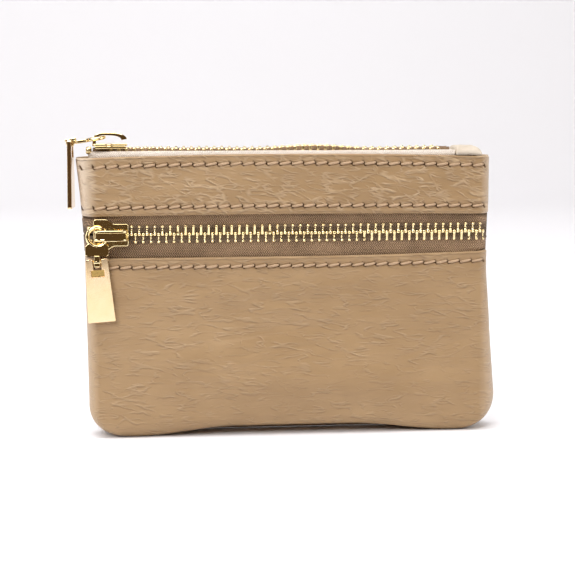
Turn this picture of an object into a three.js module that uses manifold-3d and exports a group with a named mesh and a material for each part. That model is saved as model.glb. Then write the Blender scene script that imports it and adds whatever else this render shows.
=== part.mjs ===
// Zippered leather pouch: a soft two-compartment coin pouch with metal zips.
// Millimetres. +X runs right along the zips, -Y is the front, +Z is up.
// The origin lies on the flat base, in the middle of its length.
import * as THREE from "three";
import { mergeVertices } from "three/addons/utils/BufferGeometryUtils.js";
import Module from "manifold-3d";

const wasm = await Module();
wasm.setup();

// ---- pouch body -------------------------------------------------------
const HALF_LEFT = 66.3; // side edge left of the middle, below the flare
const HALF_RIGHT = 67.0; // side edge right of the middle, above the bulge
const FLARE = 4.3; // the top left corner stands out by this much
const FLARE_FROM = 55.0;
const BULGE = 3.0; // the bottom right corner stands out by this much
const BULGE_TO = 60.0;
const CORNER_R = 9.0; // rounding of the two bottom corners
const END_ROUND = 4.5; // how far the side ends are rounded off
const SEAM_Y = 1.2; // front and back meet here
const SEAM_GAP = 0.4;
const BASE_ROUND = 5.0;
const BASE_FLAT = 0.55; // flat share of the depth under the pouch
const DEPTH_BASE = 7.8; // from the middle of the section to a face, low down
const DEPTH_ZIP = 7.5;
const DEPTH_MOUTH = 7.0;
const BELLY = 1.6; // the faces swell by this much, below the hanging pull
const BELLY_Z = 20.0;
const BELLY_TO = 37.0;
const LEATHER = 1.4;
const LINING = 0.5;
const TAPE = 0.6;
const CLEAR = 0.3;
const MOUTH_EDGE = [91.7, 92.9, 91.8]; // left, middle, right
const BAND_EDGE = [72.9, 73.3, 72.8];
const POCKET_EDGE = [59.4, 59.4, 60.6];
const DIVIDER_Y = -0.6; // front face of the wall between the two compartments
const DIVIDER_IN = 4.0; // its ends stand this far inside the pouch's sides
const DIVIDER_LEAN = [[62.0, -0.6], [72.5, -2.85], [75.2, -5.05], [80.0, -5.05]]; // z, y

// ---- zips -------------------------------------------------------------
const TOP_ZIP_Z = 94.0;
const FRONT_ZIP_Z = 67.0;
const FRONT_ZIP_Y = -5.5;
const PITCH = 2.5;
const TOOTH_W = 0.85;
const TOOTH_TIP = 0.6; // past the middle of the chain
const CORD_IN = 1.9;
const CORD_OUT = 2.7;
const CHAIN_T = 2.4;
const CHAIN_FROM = -60.1;
const TOP_CHAIN_TO = 53.3;
const FRONT_CHAIN_TO = 60.6;
const STOP_FROM = -66.3; // the top stops, just past the closed sliders
const STOP_LENGTH = 1.8;
const STOP_HALF_T = 1.15;
const TOP_STOP = [1.45, 2.75]; // reach across one half of the chain
const BOTTOM_STOP = 2.6;
const FRONT_TAPE_X = [-61.6, 62.4];
const TOP_TAPE_X = [-63.2, 60.4];
const TAPE_TIP = -66.6; // narrow tips of the tapes carry the top stops
const FRONT_TIP = 5.3; // width of a front tape's tip, from the chain's middle
const TOP_TIP = 4.3;
const FRONT_TAPE_UP = 9.5;
const FRONT_TAPE_DOWN = 12.0;

// ---- sliders and pulls ------------------------------------------------
const SLIDER_X = -58.6;
const SLIDER_WIDE = 5.2;
const SLIDER_WIDE_BELOW = 4.3;
const SLIDER_NARROW = 3.65;
const PLATE_IN = 1.5; // plate faces above and below the chain's middle
const PLATE_OUT = 2.3;
const FLANGE_IN = 0.65;
const FLANGE_T = 0.7;
const BRIDGE_W = 3.5;
const RING_OUT = 3.6;
const RING_IN = 2.4;
const RING_T = 1.1;
const RING_W = 3.75; // ring's middle above the chain's middle
const TOP_RING_BACK = 4.7; // from the slider's middle to the ring's
const FRONT_RING_BACK = 5.15;
const FRONT_RING_DROP = 0.35;
const KNUCKLE_DROP = 8.1;
const KNUCKLE_R = 1.45;
const KNUCKLE_BORE = 0.9;
const KNUCKLE_LENGTH = 1.8;
const BAR_R = 0.62;
const BLADE_LENGTH = 21.2;
const BLADE_TOP = 3.65;
const BLADE_BOTTOM = 4.5;
const BLADE_T = 1.4;
const WINDOW_HALF = 2.05;
const WINDOW_DROP = 4.7;
const FRONT_PULL_LEAN = 4.0;
const TOP_PULL_TILT = 9.0;

const GOLD = { color: 0xd9b45c, roughness: 0.22, metalness: 1.0 };
const TAN = { color: 0xb89672, roughness: 0.55, metalness: 0.0 };
const PALE_TAN = { color: 0xe4d6c4, roughness: 0.6, metalness: 0.0 };
const CLOTH = { color: 0x86694f, roughness: 0.95, metalness: 0.0 };
const SILK = { color: 0x6b5340, roughness: 0.8, metalness: 0.0 };
const THREAD = { color: 0xd8b896, roughness: 0.8, metalness: 0.0 };

const group = new THREE.Group();
group.name = "zippered_pouch";

// ---- general helpers --------------------------------------------------
function add(name, geometry, look) {
  const material = new THREE.MeshStandardMaterial(look);
  const mesh = new THREE.Mesh(geometry, material);
  mesh.name = name;
  group.add(mesh);
}

function lerp(a, b, t) {
  return a + (b - a) * t;
}

function bare(geometry) {
  const g = geometry.clone();
  g.deleteAttribute("normal");
  g.deleteAttribute("uv");
  return mergeVertices(g, 1e-4);
}

function solidOf(geometry) {
  const g = bare(geometry);
  const mesh = new wasm.Mesh({
    numProp: 3,
    vertProperties: new Float32Array(g.attributes.position.array),
    triVerts: new Uint32Array(g.index.array),
  });
  return new wasm.Manifold(mesh);
}

function geometryOf(solid) {
  const mesh = solid.getMesh();
  const g = new THREE.BufferGeometry();
  const points = new Float32Array(mesh.vertProperties);
  g.setAttribute("position", new THREE.BufferAttribute(points, 3));
  g.setIndex(new THREE.BufferAttribute(new Uint32Array(mesh.triVerts), 1));
  g.computeVertexNormals();
  return g;
}

function joined(geometries, cuts = []) {
  let solid = solidOf(geometries[0]);
  for (const g of geometries.slice(1)) {
    solid = solid.add(solidOf(g));
  }
  for (const g of cuts) {
    solid = solid.subtract(solidOf(g));
  }
  return geometryOf(solid);
}

function slab(points, from, to, holes = []) {
  const shape = new THREE.Shape(points.map(([x, y]) => new THREE.Vector2(x, y)));
  for (const hole of holes) {
    shape.holes.push(new THREE.Path(hole.map(([x, y]) => new THREE.Vector2(x, y))));
  }
  const settings = { depth: to - from, bevelEnabled: false };
  return new THREE.ExtrudeGeometry(shape, settings).translate(0, 0, from);
}

function box(x, y, z) {
  const g = new THREE.BoxGeometry(x[1] - x[0], y[1] - y[0], z[1] - z[0]);
  return g.translate((x[0] + x[1]) / 2, (y[0] + y[1]) / 2, (z[0] + z[1]) / 2);
}

function circle(radius, steps, from = 0, sweep = 360) {
  const points = [];
  const count = sweep === 360 ? steps : steps + 1;
  for (let i = 0; i < count; i += 1) {
    const a = THREE.MathUtils.degToRad(from + (sweep * i) / steps);
    points.push([radius * Math.cos(a), radius * Math.sin(a)]);
  }
  return points;
}

function axes(x, y, z) {
  const v = [x, y, z].map((a) => new THREE.Vector3(...a));
  return new THREE.Matrix4().makeBasis(...v);
}

// ---- the pouch's skin -------------------------------------------------
function along(edge, s) {
  const side = s < 0 ? edge[0] : edge[2];
  return lerp(edge[1], side, s * s);
}

function sideEdges(z, inset) {
  const flare = Math.max(0, (z - FLARE_FROM) / (MOUTH_EDGE[1] - FLARE_FROM));
  const bulge = Math.max(0, 1 - z / BULGE_TO);
  const radius = CORNER_R - inset;
  const below = Math.max(0, radius - Math.max(0, z - inset));
  const corner = radius - Math.sqrt(radius * radius - below * below);
  const left = -HALF_LEFT - FLARE * flare * flare + inset + corner;
  const right = HALF_RIGHT + BULGE * bulge * bulge - inset - corner;
  return [left, right];
}

function depthAt(s, z, inset) {
  const up = THREE.MathUtils.smoothstep(z, BASE_ROUND, BELLY_TO);
  const mouth = THREE.MathUtils.smoothstep(z, FRONT_ZIP_Z + 10, MOUTH_EDGE[1]);
  const plain = lerp(lerp(DEPTH_BASE, DEPTH_ZIP, up), DEPTH_MOUTH, mouth);
  const reach = z < BELLY_Z ? BELLY_Z : BELLY_TO - BELLY_Z;
  const off = Math.min(1, Math.abs(z - BELLY_Z) / reach);
  const swell = BELLY * (1 - off * off) ** 2 * (1 - s * s) ** 2;
  return plain + swell - inset;
}

// A row is { z, f } where f is the share of the depth; s runs from -1 to 1.
function skinPoint(side, s, row, inset) {
  const z = row.level === undefined ? row.height(s) : row.level(inset);
  const [left, right] = sideEdges(z, inset);
  const x = lerp(left, right, (s + 1) / 2);
  const near = Math.min(1, ((1 - Math.abs(s)) * (right - left)) / 2 / (END_ROUND - inset / 2));
  const round = Math.sqrt(1 - (1 - near) ** 2);
  const seam = SEAM_Y + (side * SEAM_GAP) / 2;
  const face = side * depthAt(s, z, inset);
  return new THREE.Vector3(x, lerp(seam, face, row.f * round), z);
}

function baseRows() {
  const rows = [];
  for (const f of [0, BASE_FLAT / 2, BASE_FLAT]) {
    rows.push({ f, level: (inset) => inset });
  }
  for (const turn of [22.5, 45, 67.5, 90]) {
    const a = THREE.MathUtils.degToRad(turn);
    const f = lerp(BASE_FLAT, 1, Math.sin(a));
    rows.push({ f, level: (inset) => inset + (BASE_ROUND - inset) * (1 - Math.cos(a)) });
  }
  return rows;
}

function wallRows(heights) {
  return heights.map((height) => ({ f: 1, height }));
}

function columns() {
  const half = [];
  for (const turn of [0, 20, 40, 60, 80]) {
    const a = THREE.MathUtils.degToRad(turn);
    half.push(1 - (END_ROUND * (1 - Math.cos(a))) / HALF_RIGHT);
  }
  half.push(0.8, 0.6, 0.4, 0.2);
  return [...half.map((s) => -s), 0, ...half.slice().reverse()];
}

function shell(outer, inner) {
  const rows = outer.length;
  const cols = outer[0].length;
  const points = [...outer.flat(), ...inner.flat()];
  const at = (layer, r, c) => (layer * rows + r) * cols + c;
  const faces = [];
  const quad = (a, b, c, d) => faces.push(a, b, c, a, c, d);
  for (let r = 0; r < rows - 1; r += 1) {
    for (let c = 0; c < cols - 1; c += 1) {
      quad(at(0, r, c), at(0, r, c + 1), at(0, r + 1, c + 1), at(0, r + 1, c));
      quad(at(1, r, c), at(1, r + 1, c), at(1, r + 1, c + 1), at(1, r, c + 1));
    }
    quad(at(0, r, 0), at(0, r + 1, 0), at(1, r + 1, 0), at(1, r, 0));
    const e = cols - 1;
    quad(at(0, r, e), at(1, r, e), at(1, r + 1, e), at(0, r + 1, e));
  }
  const t = rows - 1;
  for (let c = 0; c < cols - 1; c += 1) {
    quad(at(0, 0, c), at(1, 0, c), at(1, 0, c + 1), at(0, 0, c + 1));
    quad(at(0, t, c), at(0, t, c + 1), at(1, t, c + 1), at(1, t, c));
  }
  return closedMesh(points, faces);
}

function closedMesh(points, faces) {
  let volume = 0;
  for (let i = 0; i < faces.length; i += 3) {
    const [a, b, c] = [points[faces[i]], points[faces[i + 1]], points[faces[i + 2]]];
    volume += a.dot(new THREE.Vector3().crossVectors(b, c));
  }
  const index = volume < 0 ? faces.slice().reverse() : faces;
  const g = new THREE.BufferGeometry().setFromPoints(points);
  g.setIndex(index);
  g.computeVertexNormals();
  return g;
}

function skin(side, rows, inset, thickness) {
  const across = columns();
  const layer = (depth) =>
    rows.map((row) => across.map((s) => skinPoint(side, s, row, depth)));
  return shell(layer(inset), layer(inset + thickness));
}

function level(z) {
  return () => z;
}

function upTo(edge, steps, from) {
  const heights = [];
  for (let i = 1; i <= steps; i += 1) {
    heights.push((s) => lerp(from, along(edge, s), i / steps));
  }
  return heights;
}

// ---- leather ----------------------------------------------------------
function lowerRows() {
  return [...baseRows(), ...wallRows(upTo(POCKET_EDGE, 9, BASE_ROUND))];
}

function backRows() {
  return [...baseRows(), ...wallRows(upTo(MOUTH_EDGE, 13, BASE_ROUND))];
}

function addLeather() {
  const edges = [(s) => along(BAND_EDGE, s), (s) => along(MOUTH_EDGE, s)];
  const band = wallRows([edges[0], level(78), level(84), edges[1]]);
  add("front_top_band", skin(-1, band, 0, LEATHER), TAN);
  add("front_lower_panel", skin(-1, lowerRows(), 0, LEATHER), TAN);
  add("back_panel", skin(1, backRows(), 0, LEATHER), TAN);
  add("zip_end_tab", endTab(), PALE_TAN);
}

function endTab() {
  const hood = [
    [-6.9, 93.2], [-6.6, 94.3], [-5.0, 95.7], [5.0, 95.7], [6.6, 94.3], [6.9, 93.2],
    [5.9, 93.2], [5.8, 93.6], [4.6, 94.7], [-4.6, 94.7], [-5.8, 93.6], [-5.9, 93.2],
  ];
  const g = slab(hood, 56.0, 65.3);
  return g.applyMatrix4(axes([0, 1, 0], [0, 0, 1], [1, 0, 0]));
}

// ---- linings ----------------------------------------------------------
function addLinings() {
  const inset = LEATHER + CLEAR;
  add("pocket_lining", skin(-1, lowerRows().slice(0, -1), inset, LINING), SILK);
  add("main_lining", skin(1, backRows().slice(0, -2), inset, LINING), SILK);
  add("pocket_divider", divider(), SILK);
}

// The divider rises behind the front zip and leans forward to the band above it.
function divider() {
  const upright = [0, 1.2, 3, 6, 16, 36].map((rise) => [DIVIDER_IN + rise, DIVIDER_Y]);
  const across = [-1, -0.5, 0, 0.5, 1];
  const layer = (back) =>
    [...upright, ...DIVIDER_LEAN].map(([z, y]) => {
      const [left, right] = sideEdges(z, DIVIDER_IN);
      return across.map((s) => new THREE.Vector3(lerp(left, right, (s + 1) / 2), y + back, z));
    });
  return shell(layer(0), layer(LINING));
}

// ---- zip tapes and chains ---------------------------------------------
function frontTape(side, far) {
  const near = CORD_OUT + 0.25;
  const [from, to] = FRONT_TAPE_X;
  const outline = [
    [TAPE_TIP, near], [to, near], [to, far], [from, far], [from, FRONT_TIP], [TAPE_TIP, FRONT_TIP],
  ];
  return slab(outline.map(([x, v]) => [x, side * v]), -TAPE / 2, TAPE / 2);
}

function topTape(side) {
  const top = TOP_ZIP_Z + TAPE / 2;
  const low = TOP_ZIP_Z - TAPE / 2;
  const inside = DEPTH_MOUTH - LEATHER - CLEAR - TAPE;
  const outside = inside + TAPE;
  const section = [
    [CORD_OUT + 0.25, low], [4.1, low], [inside - 0.1, 92.6], [inside, 91.0], [inside, 84.5],
    [outside, 84.5], [outside, 91.2], [outside - 0.1, 93.0], [4.3, top], [CORD_OUT + 0.25, top],
  ];
  const g = slab(section.map(([y, z]) => [side * y, z]), ...TOP_TAPE_X);
  const run = g.applyMatrix4(axes([0, 1, 0], [0, 0, 1], [1, 0, 0]));
  const y = [side * (CORD_OUT + 0.25), side * TOP_TIP].sort((a, b) => a - b);
  const tip = box([TAPE_TIP, TOP_TAPE_X[0] + CLEAR], y, [low, top]);
  return joined([run, tip]);
}

function comb(side, to) {
  const teeth = Math.floor((to - CHAIN_FROM - PITCH / 2) / PITCH);
  const shift = side > 0 ? 0.2 : 0.2 + PITCH / 2;
  const points = [[CHAIN_FROM, CORD_OUT], [CHAIN_FROM, CORD_IN]];
  for (let i = 0; i < teeth; i += 1) {
    const x = CHAIN_FROM + shift + i * PITCH;
    points.push([x, CORD_IN], [x, -TOOTH_TIP], [x + TOOTH_W, -TOOTH_TIP], [x + TOOTH_W, CORD_IN]);
  }
  points.push([to, CORD_IN], [to, CORD_OUT]);
  return slab(points.map(([x, y]) => [x, side * y]), -CHAIN_T / 2, CHAIN_T / 2);
}

function stop(from, across) {
  return box([from, from + STOP_LENGTH], across, [-STOP_HALF_T, STOP_HALF_T]);
}

function topStop(side) {
  return stop(STOP_FROM, TOP_STOP.map((v) => side * v).sort((a, b) => a - b));
}

function bottomStop(chainEnd) {
  return stop(chainEnd + CLEAR, [-BOTTOM_STOP, BOTTOM_STOP]);
}

// ---- slider -----------------------------------------------------------
function sliderEdge(wide) {
  const n = SLIDER_NARROW;
  return [
    [-5.6, wide - 1.2], [-5.3, wide - 0.4], [-4.6, wide], [-1.8, wide], [-0.9, lerp(n, wide, 0.85)],
    [-0.1, lerp(n, wide, 0.5)], [0.7, lerp(n, wide, 0.15)], [1.5, n], [5.0, n], [5.6, n - 0.6],
  ];
}

function mirrored(edge) {
  return [...edge, ...edge.map(([x, y]) => [x, -y]).reverse()];
}

function flange(side, wide, from, to) {
  const edge = sliderEdge(wide).slice(2, 9);
  const inner = edge.map(([x, y]) => [x, y - FLANGE_T]).reverse();
  return slab([...edge, ...inner].map(([x, y]) => [x, side * y]), from, to);
}

function bridge() {
  const outer = [
    [-5.5, 2.1], [-5.5, 4.6], [-4.9, 5.8], [-3.6, 6.5], [-1.5, 6.65],
    [1.5, 6.6], [3.8, 6.1], [5.1, 5.2], [5.6, 4.3], [5.4, 3.8],
  ];
  const inner = [
    [3.7, 3.7], [3.4, 4.6], [2.6, 5.4], [1.2, 5.8], [-1.5, 5.85],
    [-3.2, 5.7], [-4.1, 5.1], [-4.4, 4.3], [-4.4, 2.1],
  ];
  const g = slab([...outer, ...inner], 0, BRIDGE_W);
  return g.rotateX(Math.PI / 2).translate(0, BRIDGE_W / 2, 0);
}

function slider() {
  const join = 0.05;
  const parts = [
    slab(mirrored(sliderEdge(SLIDER_WIDE)), PLATE_IN, PLATE_OUT),
    slab(mirrored(sliderEdge(SLIDER_WIDE_BELOW)), -PLATE_OUT, -PLATE_IN),
    slab([[-4.6, 0], [-3.4, -1.1], [-1.8, 0], [-3.4, 1.1]], -PLATE_IN - join, PLATE_IN + join),
    bridge(),
  ];
  for (const side of [-1, 1]) {
    parts.push(flange(side, SLIDER_WIDE, FLANGE_IN, PLATE_IN + join));
    parts.push(flange(side, SLIDER_WIDE_BELOW, -PLATE_IN - join, -FLANGE_IN));
  }
  return joined(parts);
}

// ---- pull: a ringed connector and a long tab --------------------------
function rod(radius, length) {
  return new THREE.CylinderGeometry(radius, radius, length, 24).rotateZ(Math.PI / 2);
}

// Ring at the origin, stem along -Y, knuckle's bore along X.
function connector() {
  const arch = circle(RING_OUT, 20, -30, 240);
  const foot = [
    [-3.75, -3.2], [-3.75, -5.4], [-3.0, -6.2], [-0.9, -6.5], [-0.9, -7.5],
    [0.9, -7.5], [0.9, -6.5], [3.0, -6.2], [3.75, -5.4], [3.75, -3.2],
  ];
  const plate = slab([...arch, ...foot], -RING_T / 2, RING_T / 2, [circle(RING_IN, 24)]);
  const knuckle = rod(KNUCKLE_R, KNUCKLE_LENGTH).translate(0, -KNUCKLE_DROP, 0);
  const bore = rod(KNUCKLE_BORE, KNUCKLE_LENGTH * 2).translate(0, -KNUCKLE_DROP, 0);
  return joined([plate, knuckle], [bore]);
}

// Bar at the origin along X, tab along -Y.
function blade() {
  const wide = (y) => lerp(BLADE_TOP, BLADE_BOTTOM, -y / BLADE_LENGTH);
  const outline = [
    [-WINDOW_HALF, 0.7], [-2.6, 1.0], [-3.2, 0.7], [-BLADE_TOP, -0.4], [-wide(-20), -20],
    [-3.9, -BLADE_LENGTH], [3.9, -BLADE_LENGTH], [wide(-20), -20], [BLADE_TOP, -0.4], [3.2, 0.7],
    [2.6, 1.0], [WINDOW_HALF, 0.7], [WINDOW_HALF, -WINDOW_DROP], [-WINDOW_HALF, -WINDOW_DROP],
  ];
  const plate = slab(outline, -BLADE_T / 2, BLADE_T / 2);
  return joined([plate, rod(BAR_R, 2 * WINDOW_HALF + 1.2)]);
}

// ---- the two zips -----------------------------------------------------
function addTopZip() {
  const up = (g) => g.translate(0, 0, TOP_ZIP_Z);
  for (const [word, side] of [["front", -1], ["back", 1]]) {
    add(`top_tape_${word}`, topTape(side), CLOTH);
    add(`top_chain_${word}`, up(comb(side, TOP_CHAIN_TO)), GOLD);
    add(`top_zip_top_stop_${word}`, up(topStop(side)), GOLD);
  }
  add("top_zip_bottom_stop", up(bottomStop(TOP_CHAIN_TO)), GOLD);
  add("top_slider", up(slider().translate(SLIDER_X, 0, 0)), GOLD);
  const tilt = THREE.MathUtils.degToRad(TOP_PULL_TILT);
  const ring = [SLIDER_X - TOP_RING_BACK, 0, TOP_ZIP_Z + RING_W];
  const link = connector().applyMatrix4(axes([0, -1, 0], [1, 0, 0], [0, 0, 1]));
  add("top_pull_connector", link.rotateY(-tilt).translate(...ring), GOLD);
  const pin = [ring[0] - KNUCKLE_DROP * Math.cos(tilt), 0, ring[2] - KNUCKLE_DROP * Math.sin(tilt)];
  const tab = blade().applyMatrix4(axes([0, 1, 0], [0, 0, 1], [1, 0, 0]));
  add("top_pull_tab", tab.translate(...pin), GOLD);
}

function addFrontZip() {
  const stand = (g) => g.rotateX(Math.PI / 2).translate(0, FRONT_ZIP_Y, FRONT_ZIP_Z);
  for (const [word, side, far] of [["upper", 1, FRONT_TAPE_UP], ["lower", -1, FRONT_TAPE_DOWN]]) {
    add(`front_tape_${word}`, stand(frontTape(side, far)), CLOTH);
    add(`front_chain_${word}`, stand(comb(side, FRONT_CHAIN_TO)), GOLD);
    add(`front_zip_top_stop_${word}`, stand(topStop(side)), GOLD);
  }
  add("front_zip_bottom_stop", stand(bottomStop(FRONT_CHAIN_TO)), GOLD);
  add("front_slider", stand(slider().translate(SLIDER_X, 0, 0)), GOLD);
  const ring = [SLIDER_X - FRONT_RING_BACK, -FRONT_RING_DROP, RING_W];
  add("front_pull_connector", stand(connector().translate(...ring)), GOLD);
  const lean = THREE.MathUtils.degToRad(FRONT_PULL_LEAN);
  const pin = [ring[0], ring[1] - KNUCKLE_DROP, RING_W];
  add("front_pull_tab", stand(blade().rotateZ(lean).translate(...pin)), GOLD);
}

// ---- stitching --------------------------------------------------------
function stitchRow(side, edge, drop) {
  const across = [-0.9, -0.6, -0.3, 0, 0.3, 0.6, 0.9];
  const rows = [drop - 0.3, drop + 0.3].map((d) => ({ f: 1, height: (s) => along(edge, s) + d }));
  const layer = (out) => rows.map((row) => across.map((s) => skinPoint(side, s, row, -out)));
  return shell(layer(0.45), layer(0.15));
}

function addStitching() {
  add("mouth_stitching_front", stitchRow(-1, MOUTH_EDGE, -3.0), THREAD);
  add("mouth_stitching_back", stitchRow(1, MOUTH_EDGE, -3.0), THREAD);
  add("band_edge_stitching", stitchRow(-1, BAND_EDGE, 2.8), THREAD);
  add("pocket_edge_stitching", stitchRow(-1, POCKET_EDGE, -3.0), THREAD);
}

addLeather();
addLinings();
addTopZip();
addFrontZip();
addStitching();

export default group;
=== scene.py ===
import math

import bmesh
import bpy
import numpy as np
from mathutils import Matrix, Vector
from mathutils.geometry import tessellate_polygon


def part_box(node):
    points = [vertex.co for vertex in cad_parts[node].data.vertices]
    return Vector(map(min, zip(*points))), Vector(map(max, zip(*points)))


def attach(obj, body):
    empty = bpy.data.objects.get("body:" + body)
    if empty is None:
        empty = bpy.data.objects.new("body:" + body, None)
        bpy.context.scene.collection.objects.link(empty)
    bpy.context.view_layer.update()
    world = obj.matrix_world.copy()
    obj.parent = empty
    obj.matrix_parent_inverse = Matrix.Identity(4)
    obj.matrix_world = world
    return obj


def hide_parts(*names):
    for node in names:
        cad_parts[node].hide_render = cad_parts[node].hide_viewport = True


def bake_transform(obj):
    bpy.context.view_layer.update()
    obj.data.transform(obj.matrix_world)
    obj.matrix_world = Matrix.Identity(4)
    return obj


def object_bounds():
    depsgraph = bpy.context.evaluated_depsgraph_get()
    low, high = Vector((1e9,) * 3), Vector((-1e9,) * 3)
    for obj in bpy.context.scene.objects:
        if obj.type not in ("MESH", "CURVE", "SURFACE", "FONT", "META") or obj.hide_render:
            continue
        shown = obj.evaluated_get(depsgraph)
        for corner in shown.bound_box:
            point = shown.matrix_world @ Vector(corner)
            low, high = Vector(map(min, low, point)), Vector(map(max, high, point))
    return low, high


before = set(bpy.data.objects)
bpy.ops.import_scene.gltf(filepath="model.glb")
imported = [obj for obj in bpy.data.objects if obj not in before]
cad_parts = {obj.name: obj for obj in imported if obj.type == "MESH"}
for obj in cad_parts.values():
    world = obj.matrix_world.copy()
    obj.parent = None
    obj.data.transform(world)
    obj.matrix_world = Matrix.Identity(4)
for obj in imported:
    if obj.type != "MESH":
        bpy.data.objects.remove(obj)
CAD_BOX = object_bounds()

MM = 0.001


# ---- places read from the frame, in millimetres -----------------------
def low(node):
    return np.array(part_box(node)[0]) / MM


def high(node):
    return np.array(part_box(node)[1]) / MM


def middle(node):
    return (low(node) + high(node)) / 2


MOUTH_Z = high("front_top_band")[2]
BAND_Z = low("front_top_band")[2]
POCKET_Z = high("front_lower_panel")[2]
FRONT_FACE = -low("front_top_band")[1]
SEAM_Y = (low("back_panel")[1] + high("front_lower_panel")[1]) / 2
TOP_CHAIN_Z = middle("top_chain_front")[2]
FRONT_CHAIN = middle("front_zip_bottom_stop")
TOP_SLIDER_X = middle("top_slider")[0]
FRONT_SLIDER_X = middle("front_slider")[0]
TOP_CHAIN_ENDS = (low("top_chain_front")[0], high("top_chain_front")[0])
FRONT_CHAIN_START = low("front_chain_upper")[0]
TAB_BOX = (low("zip_end_tab"), high("zip_end_tab"))

# ---- the pouch's outline ----------------------------------------------
HALF_LEFT = 66.9
HALF_RIGHT = 67.0
HALF = (HALF_LEFT + HALF_RIGHT) / 2
LEAN_FROM, LEAN_TO, LEAN = 12.0, 72.0, 0.9
FLARE_FROM, FLARE, FLARE_POWER = 60.0, 2.5, 1.6
BULGE_TO, BULGE, BULGE_POWER = 58.0, 3.9, 1.5
CORNER_LEFT = 10.5
CORNER_RIGHT = 13.0
END_ROUND = 4.5
SEAM_GAP = 0.3
BASE_ROUND = 5.0
BASE_FLAT = 0.55
DEPTH_BASE = 7.8
DEPTH_MOUTH = 7.0
BELLY = 1.6
BELLY_Z = 20.0
BELLY_TO = 37.0
LEATHER = 1.4
BASE_LIFT = 2.8
LIFT_LEFT = (-50, -18)  # the base rises between these two x
LIFT_RIGHT = (20, 54)  # and comes down between these
LIFT_BACK = (-1, 6)  # and fades between these two y
LIFT_TO = 22.0
BACK_OUT, BACK_OUT_Z = 0.8, (24, 44)
RIGHT_DIP, RIGHT_DIP_Z, RIGHT_DIP_WIDTH = 0.5, 56.0, 12.0
MOUTH_DROP = (1.2, 0.0, 1.1)
BAND_RISE = (0.1, 0.5, 0.0)
POCKET_DROP = (1.2, 1.2, 0.0)

# ---- zips and sewing --------------------------------------------------
TAPE = 0.55
ZIP_INSET = 0.35
CURL, CURL_FROM = 3.2, 61.5
TAPE_GAP = 0.6  # between the top tapes and the leather
CHAIN_HALF = 2.9  # this much of a tape, from the chain's middle, goes with the teeth
UPPER_GIVE, LOWER_GIVE = 3.6, 7.4  # and beyond that it bends over this much
TOP_WAVE, FRONT_WAVE = 0.42, 0.14
TOP_STOP, TOP_STOP_OUT = (0.9, 0.66, 1.12), 2.1
BOTTOM_STOP, BOTTOM_STOP_WAIST, BOTTOM_STOP_BACK = (0.9, 2.6, 0.5), 0.18, 1.45
FRONT_ZIP_END = 66.4
PITCH = 2.5
TOOTH_W = 0.85
CORD_MIDDLE = 2.25
RING_POWER = 4.5  # how boxy the teeth and stops are; 2 would be round
STITCH = 4.0
THREAD_R = 0.42
STITCH_RISE = 0.3
STITCH_REACH = 65.0
STITCH_LAST = 15
STITCH_GAP = 0.4
MOUTH_ROW = 3.0
BAND_ROW = 2.8
POCKET_ROW = 3.0

# ---- slider and pull ---------------------------------------------------
SLIDER_WIDE = 5.2
SLIDER_WIDE_BELOW = 4.3
SLIDER_NARROW = 3.65
PLATE_IN = 1.5
PLATE_OUT = 2.3
RING_RADIUS = 3.0
RING_W = 3.75
TOP_RING_BACK = 4.7
FRONT_RING_BACK = 4.6
FRONT_RING_DROP = 0.35
KNUCKLE_DROP = 8.1
TOP_BLADE_LENGTH = 21.2
FRONT_BLADE_LENGTH = 19.6
BLADE_TOP = 3.65
BLADE_BOTTOM = 4.5
BLADE_T = 1.4
WINDOW_HALF = 2.05
WINDOW_DROP = 4.7
SLOT_HALF = 1.3
SLOT_DROP = 2.6
TOP_PULL_TILT = 9.0
TOP_TAB_TURN = 6.0
FRONT_PULL_LEAN = 4.0
FRONT_LINK_TIP = 3.5
FRONT_PIN_OUT = 0.3


# ---- mesh helpers ------------------------------------------------------
def set_marks(obj, name, values):
    """Stores a value at each of the first points, and nothing at the rest."""
    marks = obj.data.attributes.new(name, "FLOAT", "POINT")
    full = np.zeros(len(obj.data.vertices))
    full[: values.size] = values.ravel()
    marks.data.foreach_set("value", full)


def new_object(name, points, faces, material, smooth=True):
    mesh = bpy.data.meshes.new(name)
    mesh.from_pydata([tuple(p) for p in np.asarray(points) * MM], [], faces)
    mesh.validate()
    mesh.update()
    mesh.polygons.foreach_set("use_smooth", [smooth] * len(mesh.polygons))
    mesh.materials.append(material)
    obj = bpy.data.objects.new(name, mesh)
    bpy.context.scene.collection.objects.link(obj)
    return obj


def closed_sheet(outer, inner):
    """One closed body from two grids of points that share their border."""
    rows, cols = outer.shape[:2]
    corners = [r * cols + c for r in range(rows - 1) for c in range(cols - 1)]
    faces = [[a, a + 1, a + cols + 1, a + cols] for a in corners]
    points = list(outer.reshape(-1, 3))
    inside = {}
    for r in range(rows):
        for c in range(cols):
            if r in (0, rows - 1) or c in (0, cols - 1):
                inside[r, c] = r * cols + c
            else:
                inside[r, c] = len(points)
                points.append(inner[r, c])
    for r in range(rows - 1):
        for c in range(cols - 1):
            around = [(r, c), (r + 1, c), (r + 1, c + 1), (r, c + 1)]
            faces.append([inside[k] for k in around])
    return points, faces


def settle(piece, body, slot, *nodes):
    """Puts a piece on its body and hides the CAD nodes that it stands for. slot is not used."""
    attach(piece, body)
    if nodes:
        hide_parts(*nodes)


def closed_piece(name, shell, material):
    """A smooth piece made of a closed shell, which is its points and its faces."""
    return outward(new_object(name, *shell, material))


def outward(obj):
    work = bmesh.new()
    work.from_mesh(obj.data)
    bmesh.ops.recalc_face_normals(work, faces=work.faces)
    work.to_mesh(obj.data)
    work.free()
    return obj


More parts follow.
